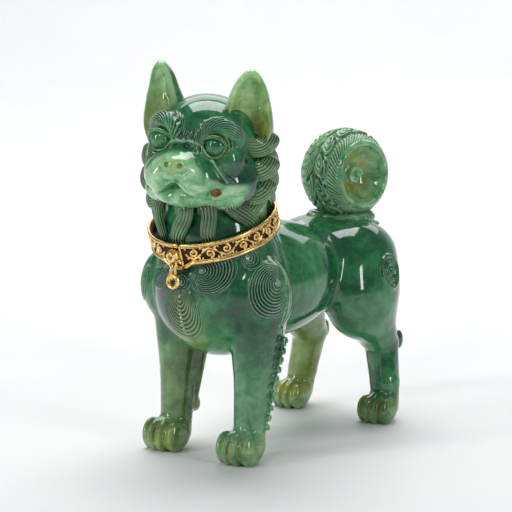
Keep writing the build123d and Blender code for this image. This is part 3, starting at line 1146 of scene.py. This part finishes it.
def make_head(clay):
    points, quads = clay.skin()
    points, quads, groove = engrave(clay, points, quads, head_carvings(), parts=2)
    x, y, z = points.T
    # painted highlight: a thin pale line along each cheek ridge
    for side in (1, -1):
        ridge = smooth_path(turned_face(flipped(cheek_line, side)), 90)
        gap = np.hypot(x[:, None] - ridge[None, :, 0], z[:, None] - ridge[None, :, 2] - 0.2)
        near = smooth_step(0.5, 0.15, gap.min(1)) * smooth_step(-8, -11, y)
        groove = np.where(near > 0, np.minimum(groove, -near), groove)
    crest = np.interp(np.abs(x), (0, 4, 8, 10.5, 13, 16), (1.0, 0.4, -1.6, -4.6, -7.4, -9.2))
    muzzle = smooth_step(-8.5, -13, y) * smooth_step(1.0, -1.0, z - crest)
    pits = np.minimum(*(np.linalg.norm(points - pit_places[side], axis=1) for side in (1, -1)))
    nostrils = np.linalg.norm((np.abs(x) - 2.5, y + 25.6, z + 2.8), axis=0)
    sockets = np.full(len(x), 99.0)
    for side in (1, -1):
        sockets = np.minimum(sockets, np.linalg.norm(points - eye_place(side), axis=1))
    seam = smooth_step(1.6, 0.5, np.abs(x)) * smooth_step(-24, -26, y)
    marks = {
        "groove": groove,
        "pale": np.maximum(muzzle, 0.85 * smooth_step(-8, -16, y) * smooth_step(-8, -13, z)),
        "olive": np.maximum(0.15 * smooth_step(6.5, 4.5, sockets), 0.5 * seam)
        + 0.5 * smooth_step(1.9, 1.0, nostrils),
        "rust": 0.8 * smooth_step(2.4, 1.7, pits),
    }
    piece = make_mesh("head_carving", from_head(points), quads, jade_material, marks)
    return finish_piece(piece, "statue", "jade", "head")


# ---------------------------------------------------------------- the ears


def ear_clay(pointed):
    """An upright cup that opens forward, in its own axes: middle at 0, tip up."""
    clay = Clay((-13, -11, -18), (13, 14, 20), 0.32)
    clay.add(egg((0, 2.4, -4.0), (9.2, 7.4, 11.2)))
    clay.add(egg((0, 1.6, 3.5), (7.6 - pointed, 5.4, 10.6)), 3)
    clay.add(egg((0, 0.6, 9.8), (4.2 - pointed, 3.2, 6.8)), 3)
    clay.carve(egg((0, -4.2, -3.2), (7.8, 8.3, 10.6)), 0.3)
    clay.carve(egg((0, -3.7, 3.6), (6.5 - pointed, 6.6, 10.0)), 0.3)
    clay.carve(egg((0, -3.6, 8.8), (3.4 - 0.8 * pointed, 4.8, 5.4)), 0.3)
    return clay


def make_ear(side, pointed, place, turned):
    name = side_name(side)
    clay = ear_clay(pointed)
    points, quads = clay.skin()
    placed = points @ turned.T + np.array(place)
    x, y, z = points.T
    facing = clay.slope(points)[:, 1]
    inner = smooth_step(0.1, -0.25, facing) * smooth_step(9.4, 7.0, np.abs(x)) * (y > -2.5)
    # painted highlight along the cup's rim; painted shade deep in the bottom of the cup
    rim = smooth_step(0.45, 0.1, np.abs(facing + 0.15)) * (y < 1.5)
    deep = inner * smooth_step(7.0, 2.0, np.hypot(x * 1.1, (z + 5.5) * 0.8))
    # inside the cup the stone is paler towards the top and more olive towards the bottom
    marks = {
        "pale": 0.12 + 0.5 * smooth_step(-4, 14, z) * inner + 0.2 * inner,
        "olive": inner * (0.25 + 0.4 * smooth_step(9, -7, z)),
        "groove": np.where(rim > 0.3, -0.9 * rim, 0.6 * deep),
    }
    piece = make_mesh(f"{name}_ear_carving", from_head(placed), quads, ear_material, marks)
    return finish_piece(piece, "statue", "jade_ear", f"{name}_ear")


# ---------------------------------------------------------------- mane and throat hair


def throat_lock(angles, heights, radius, width, ridges):
    """One wavy lock on the throat, from under the jaw down into the collar."""
    path = round_collar(radius, angles, heights)
    outward = smooth_path(path, lock_rows) - collar_middle
    outward -= np.outer(outward @ collar_axis, collar_axis)
    return lock(path, width, 1.5, outward, ridges, depth=0.42, taper=(0.8, 1, 1, 0.95, 0.8))


def make_throat():
    """Separate wavy locks with deep gaps between them."""
    share = np.linspace(0.0, 1.0, 9)
    heights = 19.5 - 20.5 * share
    radii = np.interp(share, (0, 0.2, 0.5, 0.8, 1), (14.5, 17.6, 19.2, 19.6, 18.6))
    placed = (
        (-62, 3.0, 3.0, 6, 0),
        (-28, 2.4, -4.0, 6, -2),
        (7, 2.9, 5.0, 7, 9),
        (37, 2.8, 4.0, 7, -4),
        (75, 3.3, -3.0, 8, -30),
        (104, 3.4, 3.0, 8, -6),
        *((130 + 26 * i, 3.8, 3.5 if i % 2 else -3.5, 8, 0) for i in range(6)),
        (284, 3.2, -3.5, 7, 0),
    )
    parts = []
    for angle, width, sway, ridges, lean in placed:
        wave = angle + sway * np.sin(2 * math.pi * share) + lean * (0.5 - share)
        parts.append(throat_lock(wave, heights, radii, width, ridges))
    points, quads, marks = gather(parts)
    marks["olive"] = 0.15 * np.ones(len(points))
    piece = make_mesh("throat_hair", points, quads, jade_material, marks)
    return finish_piece(piece, "statue", "jade")


def make_mane(side):
    """Fat curling locks behind the cheek, and a row behind them."""
    name = side_name(side)
    front_row = (
        (2.6, 23.0, 3.4, 3.0),
        (-5.4, 23.8, 3.8, 3.2),
        (-13.0, 23.4, 3.9, 3.2),
        (-19.4, 20.6, 3.3, 2.8),
    )
    toward_front = head_axes @ unit((side * 0.25, -1.0, 0.15))
    tuck = 0.0 if side > 0 else 1.4
    parts = []
    for level, reach, width, height in front_row:
        share = np.linspace(0.0, 1.0, 9)
        across = 12.0 + (reach - tuck - 12.0) * np.sin(share * math.pi / 2) ** 0.9
        rise = level + 1.2 - 2.2 * np.sin(share * math.pi) + 2.6 * share**3
        depth = -2.6 + 0.15 * level + 9.0 * share**1.5
        path = flipped(np.stack([across, depth, rise], 1), side)
        parts.append(
            lock(from_head(path), width, height, toward_front, 10, 0.45, taper=(0.8, 1, 1, 0.85))
        )
    for level, reach in ((6.0, 19), (0.0, 21.0), (-6.5, 21.5), (-13.0, 20.5)):
        for back, turn in ((7.0, 0.9), (13.0, 0.45)):
            across = reach * (0.93 if back < 10 else 0.62)
            path = flipped(
                [
                    (across * 0.75, back - 3, level + 1),
                    (across, back, level),
                    (across * 1.06, back + 4, level - 3.5),
                    (across * 0.95, back + 6.5, level - 6.5),
                ],
                side,
            )
            outward = head_axes @ unit((side * turn, 0.55, 0.1))
            parts.append(lock(from_head(path), 3.8, 3.0, outward, 9, 0.42, taper=(0.7, 1, 0.9, 0.5)))
    points, quads, marks = gather(parts)
    marks["pale"] = 0.25 * np.ones(len(points))
    marks["olive"] = 0.2 * np.ones(len(points))
    piece = make_mesh(f"{name}_mane_locks", points, quads, jade_material, marks)
    return finish_piece(piece, "statue", "jade", f"{name}_mane")


# ---------------------------------------------------------------- the tail


def tail_place():
    low, high = box_mm("tail")
    radius = (high[2] - low[2]) / 2
    middle = np.array([low[0] + radius, (low[1] + high[1]) / 2, (low[2] + high[2]) / 2])
    return middle, radius


def tail_carving(points):
    """Curled locks round the outside of the tail, in rows behind the smooth rim."""
    x, y, z = points.T
    inside = (x < 9.6) & (np.sqrt(x**2 + y**2 + z**2) > 13.2)
    x, y, z = x[inside], y[inside], z[inside]
    round_angle = np.arctan2(z, y)
    along = np.degrees(np.arctan2(np.hypot(y, z), x))

    def row(start, end, count, slant, rings, base, depth, shift=0.0):
        share = (along - start) / (end - start)
        turn = round_angle / (2 * math.pi) * count + slant * share + shift
        cell = turn - np.floor(turn)
        u, v = (cell - 0.5) * 2, (share - 0.5) * 2
        radius = np.sqrt((u * 0.95 + 0.35) ** 2 + (v * 0.9 - 0.25) ** 2)
        angle = np.arctan2(v * 0.9 - 0.25, u * 0.95 + 0.35)
        line = np.abs(np.sin(math.pi * (radius * rings - angle / (2 * math.pi))))
        here = smooth_step(0.0, 0.12, share) * smooth_step(1.0, 0.88, share)
        gap = smooth_step(0.0, 0.12, cell) * smooth_step(1.0, 0.9, cell)
        height = here * (base * (0.25 + 0.75 * gap) - depth * (1 - line))
        # painted shade in the gaps between locks, and painted shade and highlight along their lines
        return height, here * np.where(gap < 0.6, 1 - gap, line_mark(line))

    def heights():
        total = np.zeros(len(x))
        groove = np.zeros(len(x))
        rows = (
            (69, 89, 11, 0.7, 2.6, 1.2, 0.55, 0.0),
            (89, 109, 10, -0.7, 2.6, 1.3, 0.55, 0.3),
            (121, 146, 6, 0.5, 2.6, 1.0, 0.45, 0.1),
            (148, 168, 4, 0.4, 2.0, 0.8, 0.4, 0.5),
        )
        for each in rows:
            height, dark = row(*each)
            total += height
            groove = np.maximum(groove, dark)
        fringe = smooth_step(53, 57, along) * smooth_step(70, 67, along)
        hair = 30 * round_angle + 9.0 * np.sin((along - 55) / 11)
        line = np.abs(np.sin(hair))
        total += fringe * (0.55 - 0.4 * (1 - line))
        groove = np.where(fringe > 0.2, fringe * line_mark(line), groove)
        share = (along - 109) / 11
        beads = np.abs(np.sin(round_angle * 17))
        rope = np.sqrt(np.clip(1 - (2 * share - 1) ** 2, 0, 1))
        total += rope * (0.9 + 0.5 * beads)
        # painted shade between the beads of the rope and a painted highlight on them
        return total, np.where(rope > 0, rope * line_mark(beads), groove)

    return inside, heights


def make_tail():
    middle, radius = tail_place()
    clay = Clay((-19, -19, -19), (15, 19, 19), 0.42)
    clay.add(egg((0, 0, 0), np.full(3, radius - 0.5)))
    clay.carve(drum((31, 0, 0), (1, 0, 0), 22, 21.2), 0.8)
    clay.add(hoop((9.4, 0, 0), (1, 0, 0), 11.5, 1.0), 1.2)
    clay.carve(egg((12.8, 0, 0), (10.4, 11.2, 11.2)), 0.4)
    clay.add(limb((-1, 0, 0), (4.8, 0, 0), 5.0, 2.0), 2.0)
    clay.add(egg((6.7, 0, 0), (1.6, 1.4, 1.4)), 0.15)
    steps = 26
    turn = np.linspace(0, 2.6 * math.pi, steps)
    reach = np.linspace(2.0, 3.6, steps)
    coil = np.stack([6.5 - 0.12 * np.arange(steps), reach * np.cos(turn), reach * np.sin(turn)], 1)
    chain(clay, coil, (0.8, 0.7, 0.4), 0.3, count=30)
    points, quads = clay.skin()
    points, quads, groove = engrave(clay, points, quads, [tail_carving])
    x, y, z = points.T
    across = np.hypot(y, z)
    inner = (across < 11.3) & (x > 0)
    knob = (across < 3.9) & (x > 3.0)
    shade = 0.18 * inner * ~knob * smooth_step(9.5, 4, across)
    marks = {
        "groove": groove + shade,
        "pale": np.where(knob, 0.8, 0.65 + 0.2 * inner * smooth_step(8, 11.0, across)),
        "olive": inner * ~knob * smooth_step(12.0, 5, across + 0.2 * y) * 0.7,
    }
    turned = points @ turn_matrix(0, -3, -11).T
    piece = make_mesh("tail_carving", turned + middle, quads, jade_material, marks)
    return finish_piece(piece, "statue", "jade", "tail")


seat_leaves = 13


def make_tail_seat():
    """The leafy collar of stone the tail sits on."""
    low, high = box_mm("tail_seat")
    middle = (low + high) / 2
    reach = (high[1] - low[1]) / 2
    clay = Clay((-16, -16, -9), (16, 16, 9), 0.4)
    clay.add(drum((0, 0, -2.5), (0, -0.1, 1), reach * 0.9, 5.5, 2.0))
    for i in range(seat_leaves):
        angle = 2 * math.pi * i / seat_leaves
        spread = np.array([math.cos(angle), math.sin(angle), 0.0])
        across = np.array([-math.sin(angle), math.cos(angle), 0.0])
        clay.add(egg(spread * reach * 0.92 + (0, 0, 1.4), (2.3, 2.3, 1.7)), 1.8)
        leaf = spread * reach + across * 2.4 + (0, 0, -1.8)
        clay.add(egg(leaf, (2.7, 2.7, 1.4)), 1.8)
    points, quads = clay.skin()
    marks = {"pale": 0.45 * np.ones(len(points))}
    piece = make_mesh("tail_seat_carving", points + middle, quads, jade_material, marks)
    return finish_piece(piece, "statue", "jade", "tail_seat")


# ---------------------------------------------------------------- the collar

band_inner = 21.32
band_ground = 22.35
band_reach = 3.1
rim_middle = 22.62
vine_radius = 22.62
dip_depth = 2.3
bends = 11
shoot_turns = 1.3
shoot_reach = 1.55

hinge_joint = next(j for j in frame["joints"] if j["name"] == "collar_hinge")
hinge_away = np.array(hinge_joint["pos_m"]) / MM - collar_middle
hinge_radius = float(hinge_away @ collar_back)
knuckle_offset = 0.9


def loop_wire(path, radius):
    """A closed round wire through the points."""
    around, count = 10, 64
    path = np.asarray(path, float)
    closed = np.vstack([path, path[:1]])
    length = np.concatenate([[0], np.cumsum(np.linalg.norm(np.diff(closed, axis=0), axis=1))])
    wanted = np.linspace(0, length[-1], count, endpoint=False)
    path = np.stack([np.interp(wanted, length, closed[:, i]) for i in range(3)], 1)
    ahead = unit_rows(np.roll(path, -1, axis=0) - np.roll(path, 1, axis=0))
    plane = unit(np.cross(path[count // 4] - path[0], path[count // 2] - path[0]))
    side = np.cross(ahead, plane)
    angle = turns(around)
    ring = np.cos(angle)[None, :, None] * side[:, None, :] + (
        np.sin(angle)[None, :, None] * plane[None, None, :]
    )
    points = path[:, None, :] + radius * ring
    quads = grid_quads(count + 1, around, wrap=True) % (count * around)
    return points.reshape(-1, 3), quads, {}


def rim_dip(angles):
    """How far the lower rim drops near the boss, in mm."""
    away = np.abs(angles) * math.radians(1.0) * band_ground
    return dip_depth * smooth_step(7.4, 1.6, away)


def band(start, end):
    """The recessed ground of one collar half."""
    count = int(abs(end - start) / 1.5)
    angles = np.linspace(start, end, count)
    low = -band_reach - rim_dip(angles)
    section = []
    for share in (0.0, 0.5, 1.0):
        section.append((band_ground, band_reach + share * (low - band_reach)))
    for share in (1.0, 0.0):
        section.append((band_inner, band_reach + share * (low - band_reach)))
    rings = [round_collar(radius, angles, height) for radius, height in section]
    points = np.stack(rings, 1)
    if end < start:
        points = points[:, ::-1]
    around = len(section)
    quads = grid_quads(count, around, wrap=True)[:, ::-1]
    near_end = np.array([0, 1, 3, 4])
    far_end = near_end[::-1] + (count - 1) * around
    quads = np.concatenate([quads, [near_end, far_end]])
    # the whole ground is painted dark: painted shade behind the vine work
    return points.reshape(-1, 3), quads, {"recess": np.ones(count * around)}


def vine(side, start, end):
    """Scrolled vine work: a wave with a curled shoot in each bend."""
    parts = []
    length = (end - start) / bends
    per_degree = math.radians(1.0) * vine_radius
    for bend in range(bends):
        left = start + bend * length
        flip = 1 if bend % 2 else -1
        wave = []
        for share in np.linspace(0.0, 1.0, 9):
            height = flip * 1.7 * math.sin(math.pi * share)
            wave.append((left + share * length, height))
        lines = [(wave, (0.42, 0.46, 0.42))]
        middle = left + 0.5 * length
        curl = []
        for share in np.linspace(0.0, 1.0, 22):
            angle = -math.pi / 2 * flip + flip * 2 * math.pi * shoot_turns * share
            radius = shoot_reach * (1.0 - 0.78 * share)
            across = middle + radius * math.cos(angle) / per_degree
            curl.append((across, -0.4 * flip + radius * math.sin(angle)))
        lines.append((curl, (0.46, 0.42, 0.34)))
        for share, lean in ((0.1, 1), (0.9, -1)):
            root = left + share * length
            leaf = [
                (root, flip * 2.2),
                (root + lean * 0.9, flip * 1.5),
                (root + lean * 1.0, flip * 0.5),
            ]
            lines.append((leaf, (0.55, 0.45, 0.2)))
            bud = [(root - lean * 1.5, -flip * 2.3), (root - lean * 0.4, -flip * 1.4)]
            lines.append((bud, (0.5, 0.4, 0.25)))
        for line, thick in lines:
            line = np.array(line)
            path = round_collar(vine_radius, side * line[:, 0], line[:, 1])
            parts.append(wire(path, thick, around=7, count=len(line) * 2))
        eye = side * np.array([middle - 0.35, middle + 0.35])
        core = round_collar(vine_radius, eye, -0.4 * flip)
        parts.append(wire(core, 0.55, around=8, count=7))
    return parts


def hinge_knuckle(side, low, high):
    """A barrel of the hinge and the leaf that holds it to the band."""
    clay = Clay((-3.4, -3.4, -4.2), (3.4, 3.4, 4.2), 0.16)
    middle = (low + high) / 2
    half = (high - low) / 2
    clay.add(drum((0, knuckle_offset, middle), (0, 0, 1), 1.25, half, 0.15))
    clay.add(limb((side * 0.7, 0.4, middle), (side * 0.9, -1.7, middle), 0.55, 0.7), 0.5)
    clay.carve(drum((0, knuckle_offset, middle), (0, 0, 1), 0.55, half + 1, 0.05), 0.05)
    clay.field = np.maximum(clay.field, low - clay.axes[2][None, None, :])
    clay.field = np.maximum(clay.field, clay.axes[2][None, None, :] - high)
    points, quads = clay.skin()
    place = np.array([0, hinge_radius - knuckle_offset, 0])
    return from_collar(points + place), quads, {}


def make_collar_half(side):
    name = side_name(side)
    start = 6.6 if side > 0 else -5.6
    end = 179.3
    angles = np.linspace(start, end, 90)
    parts = [band(side * start, side * end)]
    dips = rim_dip(angles)
    for radius, height, thick in (
        (rim_middle, 3.25, 0.62),
        (rim_middle + 0.06, 2.42, 0.2),
        (rim_middle, -3.25 - dips, 0.62),
        (rim_middle + 0.06, -2.42 - dips, 0.2),
    ):
        path = round_collar(radius, side * angles, height)
        parts.append(wire(path, thick, around=9, count=150))
    tip = round_collar(rim_middle, side * start, (3.1, -3.1 - rim_dip(start)))
    parts.append(wire(tip, 0.24, around=8, count=14))
    parts += vine(side, 11.0 if side > 0 else 12.5, 176)
    knuckles = ((-1.1, 1.1),) if side > 0 else ((-3.2, -1.25), (1.25, 3.2))
    for low, high in knuckles:
        parts.append(hinge_knuckle(side, low, high))
    points, quads, marks = gather(parts)
    piece = make_mesh(f"{name}_collar_scrollwork", points, quads, gilt_material, marks)
    body_name = "collar_gate" if side > 0 else "collar_fixed_half"
    replaced = [f"collar_{name}", f"{name}_upper_rim", f"{name}_lower_rim"]
    return finish_piece(piece, body_name, "gilt", *replaced)


def make_pendant():
    """The boss with its eye, the bail and the ring."""
    boss_low = box_mm("boss")[0]
    bail_low, bail_high = box_mm("bail")
    ring_low, ring_high = box_mm("ring")
    button = collar_middle - 23.6 * collar_back - 0.3 * collar_axis
    clay = Clay(button - (3.6, 4.6, 8.0), button + (3.6, 3.4, 3.4), 0.15)
    forward = -collar_back
    clay.add(egg(button, (2.4, 2.3, 2.4)))
    clay.add(hoop(button + 1.6 * forward, forward, 1.55, 0.38), 0.15)
    for side in (1, -1):
        pit = button + 2.45 * forward + side * np.array([0.75, 0, 0.3])
        clay.carve(egg(pit, (0.42, 0.7, 0.55)), 0.1)
    eye = np.array([0.0, (bail_low[1] + bail_high[1]) / 2, boss_low[2] + 1.8])
    clay.add(limb(button + (0, 0.2, -1.2), eye + (0, 0.4, 1.5), 1.4, 0.9), 0.5)
    clay.add(hoop(eye, (0, 1, 0), 1.35, 0.46), 0.25)
    for side in (1, -1):
        foot = button + (side * 2.3, 1.0, -2.6)
        clay.add(limb(button + (side * 1.2, 0.6, -1.2), foot, 0.7, 0.45), 0.4)
    points, quads = clay.skin()
    # painted shade on the boss's face inside its ring, where the two pits are
    pits = np.linalg.norm(points - (button + 1.9 * forward), axis=1)
    marks = {"recess": 0.7 * smooth_step(1.15, 0.7, pits)}
    boss = make_mesh("boss_casting", points, quads, gilt_material, marks)
    finish_piece(boss, "collar_fixed_half", "gilt", "boss")

    middle = (bail_low + bail_high) / 2
    height = (bail_high[2] - bail_low[2]) / 2 - 0.45
    width = (bail_high[1] - bail_low[1]) / 2 - 0.45
    path = []
    for angle in np.linspace(0, 2 * math.pi, 48, endpoint=False):
        y = math.copysign(abs(math.cos(angle)) ** 0.8, math.cos(angle)) * width
        z = math.sin(angle) * height
        path.append(middle + (0, y, z))
    bail = make_mesh("bail_loop", *loop_wire(path, 0.52)[:2], gilt_material)
    finish_piece(bail, "bail_link", "gilt", "bail")

    middle = (ring_low + ring_high) / 2
    major = (ring_high[0] - ring_low[0]) / 2 - 0.7
    clay = Clay(middle - (3.6, 1.8, 3.6), middle + (3.6, 1.8, 3.6), 0.14)
    clay.add(hoop(middle, (0, 1, 0), major, 0.82))
    clay.add(hoop(middle + (0, -0.5, 0), (0, 1, 0), major + 0.1, 0.5), 0.2)
    points, quads = clay.skin()
    ring = make_mesh("ring_cast", points, quads, gilt_material)
    finish_piece(ring, "ring_link", "gilt", "ring")


# ---------------------------------------------------------------- putting it together

body = body_clay()
make_body(body)
for side in (1, -1):
    make_leg_ridges(body, side)
head = head_clay()
make_head(head)
make_ear(1, 0.2, (16.2, 0.0, 12.4), turn_matrix(-5, 2, 30))
make_ear(-1, 1.3, (-17.8, 0.0, 12.6), turn_matrix(-5, -11, -27))
make_throat()
for side in (1, -1):
    make_eye(side)
    make_mane(side)
make_tail()
make_tail_seat()
for side in (1, -1):
    make_collar_half(side)
make_pendant()

gilt_nodes = [f"{side_name(s)}_{part}_rim" for s in (1, -1) for part in ("upper", "lower")]
gilt_nodes += ["collar_left", "collar_right", "boss", "bail", "ring", "hinge_pin", "clasp_tongue"]
for node, shown in frame["nodes"].items():
    shown.data.materials.clear()
    shown.data.materials.append(gilt_material if node in gilt_nodes else jade_material)


# ---------------------------------------------------------------- the studio

view_azimuth = 37.6
view_elevation = 10.1
view_distance = 0.9
view_target = np.array([-7.1, 1.2, 65.6]) * MM
view_lens = 173.4
floor_front = 3200.0
floor_back = 1150.0
sweep_radius = 300.0
sweep_half_width = 3000
wall_height = 1800.0


def make_stage():
    """A paper sweep: a floor that curves up into a wall behind the object."""
    n = Nodes("paper_sweep")
    paper = n.ramp(n.noise(60.0, 2.0), (0.3, (0.86, 0.86, 0.865)), (0.7, (0.88, 0.88, 0.88)))
    material = n.shader(Base_Color=paper, Roughness=0.55)
    profile = [(-floor_front, 0.0), (floor_back, 0.0)]
    for angle in np.linspace(0, 90, 13)[1:]:
        a = math.radians(angle)
        reach = floor_back + sweep_radius * math.sin(a)
        profile.append((reach, sweep_radius - sweep_radius * math.cos(a)))
    profile.append((floor_back + sweep_radius, wall_height))
    a = math.radians(view_azimuth + 90)
    toward = np.array([math.cos(a), math.sin(a), 0])
    sideways = np.array([toward[1], -toward[0], 0])
    rows = []
    for reach, height in profile:
        for share in (-1, 1):
            place = toward * reach + sideways * share * sweep_half_width
            rows.append(place + np.array([0, 0, height]))
    make_mesh("paper_sweep", rows, grid_quads(len(profile), 2), material)


def softbox(name, place, aim, size, power):
    lamp = bpy.data.lights.new(name, "AREA")
    lamp.shape = "RECTANGLE"
    lamp.size, lamp.size_y = size
    lamp.energy = power
    held = bpy.data.objects.new(name, lamp)
    bpy.context.collection.objects.link(held)
    held.location = place
    direction = np.asarray(aim, float) - np.asarray(place, float)
    held.rotation_euler = Vector(direction).to_track_quat("-Z", "Y").to_euler()


def make_camera():
    a, e = math.radians(view_azimuth), math.radians(view_elevation)
    back = np.array([math.sin(a) * math.cos(e), -math.cos(a) * math.cos(e), math.sin(e)])
    lens = bpy.data.cameras.new("camera")
    lens.sensor_width = 36.0
    lens.lens = view_lens
    lens.clip_end = 20.0
    camera = bpy.data.objects.new("camera", lens)
    bpy.context.collection.objects.link(camera)
    camera.location = view_target + back * view_distance
    camera.rotation_euler = Vector(-back).to_track_quat("-Z", "Y").to_euler()
    bpy.context.scene.camera = camera


def make_world():
    world = bpy.data.worlds.new("dim_room")
    world.use_nodes = True
    background = world.node_tree.nodes["Background"]
    background.inputs["Color"].default_value = (0.75, 0.8, 0.85, 1)
    background.inputs["Strength"].default_value = 0.24
    bpy.context.scene.world = world


make_camera()
make_stage()
make_world()
middle = np.array([0, 0, 0.06])
softbox("top_box", (-0.18, 0.22, 0.95), middle, (0.72, 0.5), 5.3)
softbox("left_strip", (-0.45, -0.9, 0.45), middle, (0.14, 0.7), 3.0)
softbox("right_strip", (1.0, -0.1, 0.42), middle, (0.12, 0.6), 2.2)
softbox("front_box", (0.25, -1.05, 0.95), middle, (0.3, 0.2), 1.9)
softbox("back_glow", (-0.55, 1.0, 0.85), (-0.5, 0.95, 0.2), (1.6, 0.9), 8.6)
bpy.context.scene.view_settings.view_transform = "Standard"
